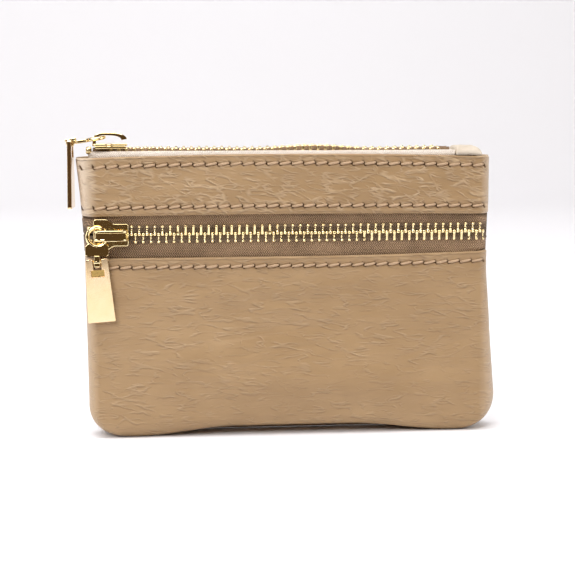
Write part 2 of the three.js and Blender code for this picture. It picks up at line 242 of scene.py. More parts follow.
def loft(sections, closed_path=False):
    """Points and faces of a body swept through rings of equal length."""
    count = len(sections[0])
    points = [p for ring in sections for p in ring]
    faces = []
    steps = len(sections) if closed_path else len(sections) - 1
    for i in range(steps):
        a = i * count
        b = ((i + 1) % len(sections)) * count
        for k in range(count):
            n = (k + 1) % count
            faces.append([a + k, a + n, b + n, b + k])
    if not closed_path:
        faces.append(list(range(count))[::-1])
        last = (len(sections) - 1) * count
        faces.append([last + k for k in range(count)])
    return points, faces


def prism(outline, from_w, to_w):
    """A plate with that outline in u, v and a thickness along w."""
    flat = [Vector((u, v, 0)) for u, v in outline]
    triangles = tessellate_polygon([flat])
    count = len(flat)
    points = [(p.x, p.y, w) for w in (from_w, to_w) for p in flat]
    faces = [list(t)[::-1] for t in triangles]
    faces += [[count + i for i in t] for t in triangles]
    for k in range(count):
        n = (k + 1) % count
        faces.append([k, n, count + n, count + k])
    return points, faces


def merged(shells):
    points = []
    faces = []
    for more_points, more_faces in shells:
        base = len(points)
        points += [tuple(p) for p in more_points]
        faces += [[base + i for i in f] for f in more_faces]
    return points, faces


def placed(points, x_axis, y_axis, z_axis, origin):
    m = np.array([x_axis, y_axis, z_axis], float)
    return np.asarray(points, float) @ m + np.array(origin, float)


def arc(cx, cy, radius, start, end, steps):
    angles = np.radians(np.linspace(start, end, steps + 1))
    return [(cx + radius * math.cos(a), cy + radius * math.sin(a)) for a in angles]


def circle(count, start=0.0):
    """Cosines and sines of angles spread evenly once round."""
    angles = [2 * math.pi * (k + start) / count for k in range(count)]
    return [(math.cos(a), math.sin(a)) for a in angles]


def bevel(obj, width, angle=30):
    mod = obj.modifiers.new("edges", "BEVEL")
    mod.width = width * MM
    mod.segments = 3
    mod.limit_method = "ANGLE"
    mod.angle_limit = math.radians(angle)
    mod.harden_normals = True


def clean_polygons(obj):
    """Joins the flat triangles of a plate, so that only its real edges are bevelled."""
    work = bmesh.new()
    work.from_mesh(obj.data)
    bmesh.ops.dissolve_limit(
        work, angle_limit=math.radians(1), verts=work.verts, edges=work.edges
    )
    bmesh.ops.recalc_face_normals(work, faces=work.faces)
    work.to_mesh(obj.data)
    work.free()
    return obj


# ---- smooth noise ------------------------------------------------------
def noise(x, y, seed):
    table = np.random.default_rng(seed).uniform(-1, 1, (64, 64))
    ix, iy = np.floor(x).astype(int), np.floor(y).astype(int)
    fx, fy = x - ix, y - iy
    fx, fy = fx * fx * (3 - 2 * fx), fy * fy * (3 - 2 * fy)

    def at(dx, dy):
        return table[(ix + dx) % 64, (iy + dy) % 64]

    near = at(0, 0) * (1 - fx) + at(1, 0) * fx
    far = at(0, 1) * (1 - fx) + at(1, 1) * fx
    return near * (1 - fy) + far * fy


def step(x, a, b):
    t = np.clip((x - a) / (b - a), 0, 1)
    return t * t * (3 - 2 * t)


# ---- the pouch's skin ---------------------------------------------------
def edge_height(base, parts, s, sign):
    side = np.where(s < 0, parts[0], parts[2])
    return base + sign * (parts[1] + (side - parts[1]) * s * s)


def mouth_edge(s):
    return edge_height(MOUTH_Z, MOUTH_DROP, s, -1)


def band_edge(s):
    return edge_height(BAND_Z, BAND_RISE, s, 1)


def pocket_edge(s):
    return edge_height(POCKET_Z, POCKET_DROP, s, -1)


def side_edges(z, inset):
    lean = np.clip((z - LEAN_FROM) / (LEAN_TO - LEAN_FROM), 0, 1)
    flare = np.clip((z - FLARE_FROM) / (MOUTH_Z - FLARE_FROM), 0, None)
    bulge = np.clip(1 - z / BULGE_TO, 0, 1)
    corners = []
    for corner_radius in (CORNER_LEFT, CORNER_RIGHT):
        radius = corner_radius - inset
        below = np.clip(radius - np.clip(z - inset, 0, None), 0, None)
        corners.append(radius - np.sqrt(np.clip(radius**2 - below**2, 0, None)))
    left = -HALF_LEFT - LEAN * lean - FLARE * flare**FLARE_POWER + inset + corners[0]
    dip = RIGHT_DIP * np.exp(-(((z - RIGHT_DIP_Z) / RIGHT_DIP_WIDTH) ** 2))
    right = HALF_RIGHT - dip + BULGE * bulge**BULGE_POWER - inset - corners[1]
    return left, right


def depth_at(s, z, inset):
    plain = DEPTH_BASE + (FRONT_FACE - DEPTH_BASE) * step(z, BASE_ROUND, BELLY_TO)
    plain = plain + (DEPTH_MOUTH - FRONT_FACE) * step(z, FRONT_CHAIN[2] + 10, MOUTH_Z)
    reach = np.where(z < BELLY_Z, BELLY_Z, BELLY_TO - BELLY_Z)
    off = np.minimum(1, np.abs(z - BELLY_Z) / reach)
    return plain + BELLY * (1 - off**2) ** 2 * (1 - s * s) ** 2 - inset


def skin(side, s, z, f, inset):
    """Points of the pouch's skin; arrays s, z and f broadcast together."""
    left, right = side_edges(z, inset)
    if side > 0:
        right = right + BACK_OUT * step(z, *BACK_OUT_Z)
    x = left + (right - left) * (s + 1) / 2
    near = np.minimum(1, (1 - np.abs(s)) * (right - left) / 2 / (END_ROUND - inset / 2))
    around = np.sqrt(np.clip(1 - (1 - near) ** 2, 0, 1))
    seam = SEAM_Y + side * SEAM_GAP / 2
    share = f * around
    y = seam + (side * depth_at(s, z, inset) - seam) * share
    return np.stack(np.broadcast_arrays(x, y, z), axis=-1)


def base_lift(points):
    """The bottom sags at its corners, so its middle clears the floor a little."""
    x, y, z = points[..., 0], points[..., 1], points[..., 2]
    lift = BASE_LIFT * step(x, *LIFT_LEFT) * (1 - step(x, *LIFT_RIGHT))
    lift = lift * np.clip(1 - z / LIFT_TO, 0, 1) ** 2 * (1 - step(y, *LIFT_BACK))
    points = points.copy()
    points[..., 2] += lift
    return points


def soft_steps(length, spacing, border=LEATHER / 2):
    """Places along a length, crowded near both ends where the edge is rounded."""
    near = border * np.array([0, 0.02, 0.08, 0.2, 0.4, 0.65, 1.0])
    count = max(2, int((length - 2 * border) / spacing))
    inner = np.linspace(border, length - border, count)[1:-1]
    return np.concatenate([near, inner, (length - near)[::-1]])


def roundness(distance, length, thickness):
    d = np.minimum(distance, length - distance) / (thickness / 2)
    return np.sqrt(np.clip(1 - (1 - np.minimum(1, d)) ** 2, 0, 1))


BASE_LENGTH = BASE_FLAT * DEPTH_BASE
ROUND_LENGTH = 7.0


def wall_profile(q, inset):
    """Height and depth share at a distance q up the panel from the seam under the base."""
    z = np.where(q > BASE_LENGTH + ROUND_LENGTH, BASE_ROUND + q - BASE_LENGTH - ROUND_LENGTH, 0)
    turn = np.clip((q - BASE_LENGTH) / ROUND_LENGTH, 0, 1) * math.pi / 2
    low_z = inset + (BASE_ROUND - inset) * (1 - np.cos(turn))
    z = np.where(q > BASE_LENGTH + ROUND_LENGTH, z, low_z)
    f = BASE_FLAT * np.clip(q / BASE_LENGTH, 0, 1) + (1 - BASE_FLAT) * np.sin(turn)
    return z, f


# ---- leather relief -----------------------------------------------------
def creases(x, z, seed):
    """Depth of the soft folds of the leather, in millimetres below its smooth skin."""
    wx = x + 6 * noise(x / 17, z / 9, seed + 1)
    wz = z + 3 * noise(x / 21, z / 12, seed + 3) - 0.12 * x
    deep = 0
    for scale_x, scale_z, depth, width, k in ((19, 5.2, 0.16, 0.16, 10), (12, 3.3, 0.12, 0.2, 20)):
        line = np.exp(-((noise(wx / scale_x, wz / scale_z, seed + k) / width) ** 2))
        patch = step(noise(x / 23, z / 13, seed + k + 5), -0.3, 0.4)
        deep = deep + depth * line * patch
    swell = 0.26 * noise(x / 19, wz / 7, seed + 6) + 0.14 * noise(x / 8, wz / 4, seed + 7)
    return deep - swell


# Painted shade in the needle holes and a painted shadow line under each stitch's thread; the same
# marks also dent the skin
def holes_and_thread_shadow(x, z, rows):
    marks = 0
    for row in rows:
        up = z - row
        along = (x / STITCH - np.round(x / STITCH)) * STITCH + 0.5 * up
        marks = marks + 1.1 * np.exp(-((along / 0.34) ** 2) - (up / 0.9) ** 2)
        # the painted shadow line just under the thread
        under = up - 2 * STITCH_RISE * (x / STITCH - np.floor(x / STITCH) - 0.5) + 0.5
        marks = marks + 0.34 * np.exp(-((under / 0.24) ** 2))
    return np.clip(marks, 0, 1)


def stitch_marks(x, z, rows):
    """A shallow channel along each stitch row, puckered at each stitch."""
    deep = 0.55 * holes_and_thread_shadow(x, z, rows)
    for row in rows:
        deep = deep + 0.2 * np.exp(-(((z - row) / 0.8) ** 2))
        pull = np.cos(2 * math.pi * x / STITCH) * np.exp(-(((z - row) / 1.7) ** 2))
        deep = deep + 0.09 * pull
    return deep


def leather_panel(name, side, s_spacing, q_places, q_length, heights, rows, seed, material):
    """A leather panel with rounded edges. heights(s, q, inset) gives z and depth share."""
    x_places = soft_steps(2 * HALF, s_spacing)
    s = (x_places / HALF - 1)[None, :]
    q = q_places[:, None]
    stitch_shade = None
    edge = roundness(x_places[None, :], 2 * HALF, LEATHER) * roundness(q, q_length, LEATHER)
    layers = []
    for sign in (1, -1):
        inset = LEATHER / 2 * (1 - sign * edge)
        z, f = heights(s, q, inset)
        points = skin(side, s, z, f, inset)
        if sign == 1:
            marks = [row(s) for row in rows]
            stitch_shade = holes_and_thread_shadow(points[..., 0], points[..., 2], marks)
            stitch_shade = stitch_shade * (points[..., 0] < STITCH_REACH)
            relief = creases(points[..., 0], points[..., 2], seed)
            relief = relief + stitch_marks(points[..., 0], points[..., 2], marks)
            points[..., 1] -= side * relief * edge * np.clip(f, 0, 1) ** 4
        layers.append(base_lift(points))
    panel = closed_piece(name, closed_sheet(*layers), material)
    set_marks(panel, "stitch_shade_mask", stitch_shade)
    return panel


def with_dense_rows(places, rows, reach=1.3, spacing=0.2):
    """Adds finer steps near each stitch row."""
    dense = [np.arange(row - reach, row + reach, spacing) for row in rows]
    every = np.sort(np.concatenate([places, *dense]))
    keep = np.concatenate([[True], np.diff(every) > spacing * 0.4])
    keep[every > places[-1] - LEATHER / 2] = False
    keep[every < places[0] + LEATHER / 2] = False
    border = (places <= places[0] + LEATHER / 2) | (places >= places[-1] - LEATHER / 2)
    return np.sort(np.concatenate([places[border], every[keep]]))


def mouth_row(s):
    return mouth_edge(s) - MOUTH_ROW


def band_row(s):
    return band_edge(s) + BAND_ROW


def pocket_row(s):
    return pocket_edge(s) - POCKET_ROW


def band_heights(s, q, _inset):
    z = band_edge(s) + (mouth_edge(s) - band_edge(s)) * q / (MOUTH_Z - BAND_Z)
    return z, np.ones_like(z)


def wall_heights(edge, top):
    """Heights of a panel that comes up from the base to an edge, which is at top in its middle."""
    def heights(s, q, inset):
        stretch = (edge(s) - BASE_ROUND) / (top - BASE_ROUND)
        z, f = wall_profile(q + 0 * s, inset)
        return np.where(z > BASE_ROUND, BASE_ROUND + (z - BASE_ROUND) * stretch, z), f

    return heights


def make_leather(band_leather, panel_leather):
    band_length = MOUTH_Z - BAND_Z
    under = BASE_LENGTH + ROUND_LENGTH - BASE_ROUND
    band_q = with_dense_rows(
        soft_steps(band_length, 0.45), [BAND_ROW, band_length - MOUTH_ROW]
    )
    lower_length = POCKET_Z + under
    lower_q = with_dense_rows(soft_steps(lower_length, 0.5), [lower_length - POCKET_ROW])
    back_length = MOUTH_Z + under
    back_q = with_dense_rows(soft_steps(back_length, 0.8), [back_length - MOUTH_ROW])
    made = [
        leather_panel(
            "band_leather", -1, 0.34, band_q, band_length,
            band_heights, [mouth_row, band_row], 11, band_leather,
        ),
        leather_panel(
            "lower_panel_leather", -1, 0.5, lower_q, lower_length,
            wall_heights(pocket_edge, POCKET_Z), [pocket_row], 23, panel_leather,
        ),
        leather_panel(
            "back_leather", 1, 0.6, back_q, back_length,
            wall_heights(mouth_edge, MOUTH_Z), [mouth_row], 37, panel_leather,
        ),
    ]
    nodes = ("front_top_band", "front_lower_panel", "back_panel")
    for piece, node in zip(made, nodes):
        settle(piece, "pouch", "leather", node)


# ---- stitches -----------------------------------------------------------
def stitch_body(side, row, x_from):
    """One slanted stitch: a short thread that dips into the leather at both ends."""
    rings = []
    for t in np.linspace(0, 1, 9):
        x = x_from + STITCH_GAP / 2 + t * (STITCH - STITCH_GAP)
        s = np.array(np.clip((x + (HALF_LEFT - HALF_RIGHT) / 2) / HALF, -1, 1))
        z = row(s) + STITCH_RISE * (t - 0.5) * 2
        y = skin(side, s, z, 1.0, 0)[1]
        out = -0.32 + 0.42 * math.sin(math.pi * t) ** 0.5
        r = THREAD_R * (0.35 + 0.65 * math.sin(math.pi * min(max(t, 0.08), 0.92)) ** 0.4)
        rings.append([(x, y + side * out + r * 0.85 * a, z + r * b) for a, b in circle(8)])
    return loft(rings)


def make_stitching(material):
    rows = (
        ("mouth_stitching_front", -1, mouth_row, -17),
        ("mouth_stitching_back", 1, mouth_row, -17),
        ("band_edge_stitching", -1, band_row, -17),
        ("pocket_edge_stitching", -1, pocket_row, -16),
    )
    for node, side, row, first in rows:
        shells = [stitch_body(side, row, i * STITCH) for i in range(first, STITCH_LAST + 1)]
        piece = closed_piece("stitches_" + node, merged(shells), material)
        settle(piece, "pouch", "thread", node)


# ---- linings -------------------------------------------------------------
LINING_GAP = 0.3
LINING = 0.5
LININGS = (("pocket_lining", -1, 53.5, "front_lower_panel"), ("main_lining", 1, 79.0, "back_panel"))
DIVIDER_INSET = 4.0
DIVIDER_BENDS = (62.0, 72.5, 75.2)  # where it leaves the upright and leans to the band


def make_linings(material):
    inset = LEATHER + LINING_GAP
    s = np.linspace(-1, 1, 61)[None, :]
    for name, side, top, holder in LININGS:
        q = np.linspace(0, top + BASE_LENGTH + ROUND_LENGTH - BASE_ROUND, 60)[:, None]
        layers = []
        for deep in (inset, inset + LINING):
            z, f = wall_profile(q + 0 * s, deep)
            layers.append(base_lift(skin(side, s, z, f, deep)))
        layers[1][0], layers[1][-1] = layers[0][0], layers[0][-1]
        piece = closed_piece(name + "_cloth", closed_sheet(*layers), material)
        settle(piece, "pouch", "lining", name)
    lo, hi = low("pocket_divider"), high("pocket_divider")
    z = np.linspace(lo[2], hi[2], 60)[:, None]
    left, right = side_edges(z, DIVIDER_INSET)
    x = left + (right - left) * (s + 1) / 2
    y = np.interp(z, DIVIDER_BENDS, [hi[1] - LINING, -2.85, lo[1]])
    y = y + 0.12 * noise(x / 16, z / 12, 5)
    layers = [np.stack(np.broadcast_arrays(x, y + t, z + 0 * x), axis=-1) for t in (0, LINING)]
    shell = closed_sheet(*[base_lift(layer) for layer in layers])
    piece = closed_piece("divider_cloth", shell, material)
    settle(piece, "pouch", "lining", "pocket_divider")


# ---- zip tapes -----------------------------------------------------------
def curl_in(x):
    """How far the top tapes turn towards each other at their two ends."""
    return CURL * np.clip((np.abs(x) - CURL_FROM) / 4, 0, 1.2) ** 2


def wrap(x, left, right):
    """How far the front zip turns back round the pouch's sides, to end in the seams."""
    near = np.clip(np.minimum(x - left, right - x) / END_ROUND, 0, 1)
    return (SEAM_Y - SEAM_GAP - FRONT_CHAIN[1]) * (1 - np.sqrt(1 - (1 - near) ** 2))


def front_tape_ends(z):
    """The tape reaches the pouch's outline between the panels, and less far under them."""
    covered = step(z, BAND_Z - 1.1, BAND_Z) + 1 - step(z, POCKET_Z - 0.6, POCKET_Z + 0.6)
    return side_edges(z, ZIP_INSET + (LEATHER + 0.1) * covered)


def tape_from_path(path, ends_at, seed, bend):
    """A tape swept along x over a path of (y, z) points in its section."""
    path = np.array(path, float)
    steps = np.concatenate([[0], np.cumsum(np.linalg.norm(np.diff(path, axis=0), axis=1))])

    def along(t):
        return np.stack([np.interp(t, steps, column) for column in path.T])

    t = np.linspace(0, steps[-1], 26)[:, None]
    y, z = along(t)
    left, right = ends_at(z)
    x = left + (right - left) * (1 + np.sin(np.linspace(-1, 1, 300) * math.pi / 2)[None, :]) / 2
    dy, dz = along(np.clip(t + 0.15, 0, steps[-1])) - along(np.clip(t - 0.15, 0, steps[-1]))
    size = np.hypot(dy, dz)
    wave = 0.16 * noise(x / 11, t / 6, seed) * np.sin(math.pi * t / steps[-1])
    edge = np.maximum(roundness(t, steps[-1], TAPE), 0.05)
    layers = []
    for sign in (1, -1):
        off = (sign * TAPE / 2 * edge + wave) / size
        points = np.broadcast_arrays(x, y - dz * off + bend(x, left, right), z + dy * off)
        layers.append(np.stack(points, axis=-1))
    return closed_sheet(*layers)


def make_tapes(top_material, front_material):
    top_inside = DEPTH_MOUTH - LEATHER - TAPE_GAP
    chain_z, chain_y = FRONT_CHAIN[2], FRONT_CHAIN[1]
    tapes = []
    for word, side in (("front", -1), ("back", 1)):
        path = [
            (side * 1.2, TOP_CHAIN_Z - 0.5), (side * 4.0, TOP_CHAIN_Z - 0.45),
            (side * 4.7, TOP_CHAIN_Z - 0.8), (side * 5.05, TOP_CHAIN_Z - 1.6),
            (side * top_inside, TOP_CHAIN_Z - 3), (side * top_inside, 84.5),
        ]
        ends = (low("top_tape_" + word)[0] + 1, high("top_tape_" + word)[0])
        shell = tape_from_path(
            path, lambda z: ends, 3, lambda x, left, right: -side * curl_in(x)
        )
        start = (side * top_inside, TOP_CHAIN_Z - 3)
        end = (side * CHAIN_HALF, TOP_CHAIN_Z - 0.2)
        tapes.append(("top", word, shell, top_material, start, end))
    for word, side, give in (("upper", 1, UPPER_GIVE), ("lower", -1, LOWER_GIVE)):
        node = "front_tape_" + word
        far = high(node)[2] if side > 0 else low(node)[2]
        path = [(chain_y, chain_z + side * 0.35), (chain_y, far)]
        shell = tape_from_path(path, front_tape_ends, 7, wrap)
        start = (chain_y, chain_z + side * (CHAIN_HALF + give))
        end = (chain_y, chain_z + side * CHAIN_HALF)
        tapes.append(("front", word, shell, front_material, start, end))
    for zip_name, word, shell, material, start, end in tapes:
        piece = closed_piece(f"{zip_name}_tape_cloth_{word}", shell, material)
        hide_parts(f"{zip_name}_tape_{word}")
        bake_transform(piece)


# ---- chains ---------------------------------------------------------------
def rounded_ring(u, v, a, b):
    """A ring of points round (u, 0) at height v, between an ellipse and a box."""
    ring = []
    for c, s in circle(14, 0.5):
        x = math.copysign(abs(c) ** (2 / RING_POWER), c) * a
        y = math.copysign(abs(s) ** (2 / RING_POWER), s) * b
        ring.append((u + x, v, y))
    return ring


def tooth(u, side, bright):
    """A metal tooth that grips the cord and reaches past the chain's middle.

    bright runs from 0, with a hollow between the outer knob and the tip, to 1, with a
    straight back that leans so that it catches the light.
    """
    hollow = 0.3 + 0.7 * bright
    stations = (
        (2.98, 0.26, 0.5, 0), (2.92, 0.42, 0.9, 0), (2.7, 0.48, 1.12, 0), (2.25, 0.48, 1.15, 0),
        (2.05, 0.42, 1.15, 1), (1.5, 0.42, 1.12, 1), (1.0, 0.42, 1.1, 1), (0.7, 0.46, 1.05, 0.6),
        (0.4, 0.52, 1.05, 0), (0.05, 0.54, 1.1, 0), (-0.3, 0.52, 1.0, 0), (-0.52, 0.42, 0.8, 0),
        (-0.6, 0.24, 0.45, 0),
    )
    rings = []
    for v, a, b, low_part in stations:
        lean = 0.13 * side * v * bright
        share = 1 - low_part * (1 - hollow)
        rings.append(rounded_ring(u, side * v, a * share**0.4, max(b * share + lean, 0.3)))
    return loft(rings)


def cord(ends, side):
    rings = []
    for u in np.linspace(ends[0], ends[1], 120):
        r = 0.62 + 0.05 * math.sin(u * 2 * math.pi / PITCH)
        rings.append([(u, side * CORD_MIDDLE + r * 0.8 * c, r * 1.3 * s) for c, s in circle(10)])
    return loft(rings)


def swelling(u, side):
    """Where a row of teeth bulges towards the front: 1 on a bulge and 0 off it."""
    left = step(u, -44, -34) * (1 - step(u, -9, -2))
    right = step(u, 19, 26) * (1 - step(u, 58, 64))
    shares = (1.0, 0.35) if side > 0 else (0.35, 1.0)
    return shares[0] * left + shares[1] * right


def chain_half(ends, side):
    count = int((ends[1] - ends[0] - PITCH / 2) // PITCH)
    shift = 0.2 if side > 0 else 0.2 + PITCH / 2
    places = [ends[0] + shift + TOOTH_W / 2 + i * PITCH for i in range(count)]
    return merged([tooth(u, side, float(swelling(np.array(u), side))) for u in places])


def clip(u, v, size, gap=0.0):
    """A small clamped stop: a rounded block with a waist."""
    rings = []
    du, dv, dw = size
    for t in np.linspace(-1, 1, 9):
        k = (1 - abs(t) ** 6) ** 0.5 if abs(t) < 1 else 0.35
        waist = 1 - gap * math.exp(-((t / 0.25) ** 2))
        k = max(k, 0.35)
        rings.append(rounded_ring(u, v + t * dv, du * k, dw * k * waist))
    return loft(rings)


TOP_AXES = ((1, 0, 0), (0, 1, 0), (0, 0, 1))
FRONT_AXES = ((1, 0, 0), (0, 0, 1), (0, -1, 0))
TOP_ORIGIN = (0, 0, TOP_CHAIN_Z)
FRONT_ORIGIN = (0, FRONT_CHAIN[1], FRONT_CHAIN[2])


def chain_wave(points, amount, follows_ends):
    """The chain isn't quite straight: it dips and rises along its length."""
    points = np.array(points, float)
    u = points[:, 0]
    fade = step(u, -50, -38) * (1 - step(u, 44, 52))
    points[:, 2] += amount * fade * (np.sin(u / 9.5 + 0.8) + 0.5 * np.sin(u / 5.1))
    if follows_ends:
        points[:, 2] -= wrap(u, *side_edges(FRONT_CHAIN[2], ZIP_INSET))
    return points


def make_chains(metal, cloth):
    front_ends = (FRONT_CHAIN_START, FRONT_ZIP_END + 1.4)
    zips = (
        ("top", ("front", "back"), (-1, 1), TOP_CHAIN_ENDS, TOP_AXES, TOP_ORIGIN, TOP_WAVE),
        ("front", ("upper", "lower"), (1, -1), front_ends, FRONT_AXES, FRONT_ORIGIN, FRONT_WAVE),
    )
    for zip_name, words, sides, ends, axes, origin, wave in zips:
        in_front = zip_name == "front"
        cord_ends = (ends[0] - 4, ends[1] - (1.6 if in_front else 0.3))
        for word, side in zip(words, sides):
            stop = f"{zip_name}_zip_top_stop_{word}"
            top_stop = clip(middle(stop)[0], side * TOP_STOP_OUT, TOP_STOP)
            chain = f"{zip_name}_chain_{word}"
            parts = (
                (f"{zip_name}_teeth_{word}", chain_half(ends, side), wave, metal, [chain]),
                (f"{zip_name}_cord_{word}", cord(cord_ends, side), wave, cloth, []),
                (f"stop_{stop}", top_stop, 0, metal, [stop]),
            )
            for name, (points, faces), sway, material, nodes in parts:
                points = placed(chain_wave(points, sway, in_front), *axes, origin)
                piece = closed_piece(name, (points, faces), material)
                slot = "zip_tape" if material is cloth else "chain_metal"
                settle(piece, f"{zip_name}_chain_half_{word}", slot, *nodes)
        stop = f"{zip_name}_zip_bottom_stop"
        points, faces = clip(middle(stop)[0], 0, BOTTOM_STOP, BOTTOM_STOP_WAIST)
        behind = np.array(origin) - BOTTOM_STOP_BACK * np.array(axes[2])
        piece = closed_piece(f"stop_{stop}", (placed(points, *axes, behind), faces), metal)
        settle(piece, "pouch", "chain_metal", stop)


# ---- slider ---------------------------------------------------------------
def slider_edge(wide):
    """Upper half of the slider's outline: wide shoulders, then a narrow neck."""
    n = SLIDER_NARROW
    points = arc(-4.8, wide - 0.8, 0.8, 180, 90, 4)
    for t in np.linspace(0, 1, 11):
        points.append((-1.9 + 3.2 * t, wide + (n - wide) * t * t * (3 - 2 * t)))
    points += arc(5.0, n - 0.6, 0.6, 90, 0, 4)
    return points


def mirrored(edge):
    return edge + [(u, -v) for u, v in reversed(edge)]


def flange(side, wide, from_w, to_w):
    edge = [p for p in slider_edge(wide) if -4.9 < p[0] < 5.1]
    inner = [(u, v - 0.7) for u, v in reversed(edge)]
    outline = [(u, side * v) for u, v in edge + inner]
    return prism(outline, from_w, to_w)


def bridge():
    """An arched loop over the slider, open at its right end."""
    line = np.array([
        (-4.95, 2.1), (-4.95, 3.2), (-4.95, 4.2), (-4.75, 5.0), (-4.2, 5.65),
        (-3.3, 6.1), (-2.2, 6.25), (-1.0, 6.28), (0.4, 6.26), (1.7, 6.15),
        (2.8, 5.85), (3.7, 5.4), (4.3, 4.8), (4.55, 4.25), (4.6, 3.9),
    ])
    line[:, 1] = PLATE_OUT + (line[:, 1] - PLATE_OUT) * 0.76
    rings = []
    for i, (u, w) in enumerate(line):
        ahead = line[min(i + 1, len(line) - 1)] - line[max(i - 1, 0)]
        along = ahead / np.linalg.norm(ahead)
        out = np.array([-along[1], along[0]])
        t = i / (len(line) - 1)
        thick = 0.42 + 0.18 * (1 - min(1, t * 5)) + 0.62 * max(0, (t - 0.6) / 0.4) ** 1.3
        section = (
            (-1.75, -thick), (-1.75, thick * 0.7), (-1.6, thick), (-1.15, thick),
            (-1.0, thick - 0.06), (0.95, thick - 0.34),
            (1.05, thick), (1.6, thick), (1.75, thick * 0.7), (1.75, -thick),
        )
        rings.append([(u + out[0] * d, v, w + out[1] * d) for v, d in section])
    return loft(rings)


def slider_shells():
    shells = [
        prism(mirrored(slider_edge(SLIDER_WIDE)), PLATE_IN, PLATE_OUT),
        prism(mirrored(slider_edge(SLIDER_WIDE_BELOW)), -PLATE_OUT, -PLATE_IN),
        prism([(-4.6, 0), (-3.4, -1.1), (-1.8, 0), (-3.4, 1.1)], -1.6, 1.6),
    ]
    for side in (-1, 1):
        shells.append(flange(side, SLIDER_WIDE, 0.65, PLATE_IN + 0.1))
        shells.append(flange(side, SLIDER_WIDE_BELOW, -PLATE_IN - 0.1, -0.65))
    return shells


def make_slider(name, u, axes, origin, metal):
    spot = np.array(origin, float) + np.array([u, 0, 0])
    parts = (
        ("_body", merged(slider_shells()), 0.28, 30, [name]),
        ("_bridge", bridge(), 0.16, 20, []),
    )
    for word, (points, faces), edge, angle, nodes in parts:
        points = placed(points, *axes, spot)
        piece = new_object(name + word, points, faces, metal, smooth=False)
        bevel(clean_polygons(piece), edge, angle)
        settle(piece, name + "_body", "polished_metal", *nodes)


# ---- pull: ringed connector and tab ---------------------------------------
def ring_shell():
    wire = [(RING_RADIUS + 0.6 * c, 0.55 * s) for c, s in circle(12)]
    rings = [[(r * c, r * s, w) for r, w in wire] for c, s in circle(48)]
    return loft(rings, closed_path=True)


def knuckle_shell():
    """A strip curled round the tab's bar, seen as a short tube."""
    wall = [(-0.9, 0.9), (-0.9, 1.33), (-0.78, 1.45), (0.78, 1.45), (0.9, 1.33), (0.9, 0.9)]
    rings = [[(u, -KNUCKLE_DROP + r * c, r * s) for u, r in wall] for c, s in circle(28)]
    return loft(rings, closed_path=True)


def connector_plate():
    """The flat plate with its stem, whose front runs down over the tab's bar."""
    plate = [
        (-3.75, -2.9), (-3.75, -5.9), (-3.3, -6.2), (-0.9, -6.2), (-0.9, -6.9),
        (0.9, -6.9), (0.9, -6.2), (3.3, -6.2), (3.75, -5.9), (3.75, -2.9),
        (2.5, -1.9), (1.3, -2.75), (0, -3.0), (-1.3, -2.75), (-2.5, -1.9),
    ]
    return prism(plate, -0.55, 0.55)


def stem_shell():
    top, low_end = -KNUCKLE_DROP + 2.1, -KNUCKLE_DROP - 1.6
    return prism([(-0.9, top), (-0.9, low_end), (0.9, low_end), (0.9, top)], 0.5, 1.4)


def blade_shell(length):
    right = [(SLOT_HALF, 0.9), (2.5, 1.1)] + arc(BLADE_TOP - 0.7, 0.3, 0.7, 80, 0, 4)
    right += arc(BLADE_BOTTOM - 0.5, -length + 0.5, 0.5, 0, -90, 4)
    left = [(-u, v) for u, v in reversed(right)]
    window = [
        (-SLOT_HALF, -SLOT_DROP), (-WINDOW_HALF, -SLOT_DROP), (-WINDOW_HALF, -WINDOW_DROP),
        (WINDOW_HALF, -WINDOW_DROP), (WINDOW_HALF, -SLOT_DROP), (SLOT_HALF, -SLOT_DROP),
    ]
    return prism(right + left + window, -BLADE_T / 2, BLADE_T / 2)


def recess_shell():
    """The thin floor of the tab's window."""
    wide, deep = WINDOW_HALF + 0.2, WINDOW_DROP + 0.2
    floor = [(-wide, -deep), (wide, -deep), (wide, -SLOT_DROP), (-wide, -SLOT_DROP)]
    return prism(floor, -0.5, -0.2)


def bar_shell():
    return loft([[(u, 0.6 * c, 0.6 * s) for c, s in circle(24)] for u in (-1.6, 1.6)])


def make_pull(zip_name, link_axes, ring, tab_axes, pin, blade_length, metals):
    """The link with its ring, then the tab with its bar and the floor of its window."""
    metal, blade_metal, shaded_recess_metal = metals
    on_link, on_tab = (*link_axes, ring), (*tab_axes, pin)
    link = merged([connector_plate(), stem_shell()])
    loop = merged([ring_shell(), knuckle_shell()])
    blade = blade_shell(blade_length)
    pieces = (
        ("connector_plate", link, on_link, metal, 0.28, "connector_body", "_pull_connector"),
        ("connector_ring", loop, on_link, metal, None, "connector_body", None),
        ("tab_blade", blade, on_tab, blade_metal, 0.22, "tab_body", "_pull_tab"),
        ("tab_bar", bar_shell(), on_tab, metal, None, "tab_body", None),
        ("tab_recess", recess_shell(), on_tab, shaded_recess_metal, 0, "tab_body", None),
    )
    for name, (points, faces), frame_at, material, edge, body, node in pieces:
        points = placed(points, *frame_at)
        round_piece = edge is None
        piece = new_object(f"{zip_name}_{name}", points, faces, material, smooth=round_piece)
        if round_piece:
            outward(piece)
        elif edge:
            bevel(clean_polygons(piece), edge)
        replaced = [zip_name + node] if node else []
        settle(piece, f"{zip_name}_{body}", "polished_metal", *replaced)


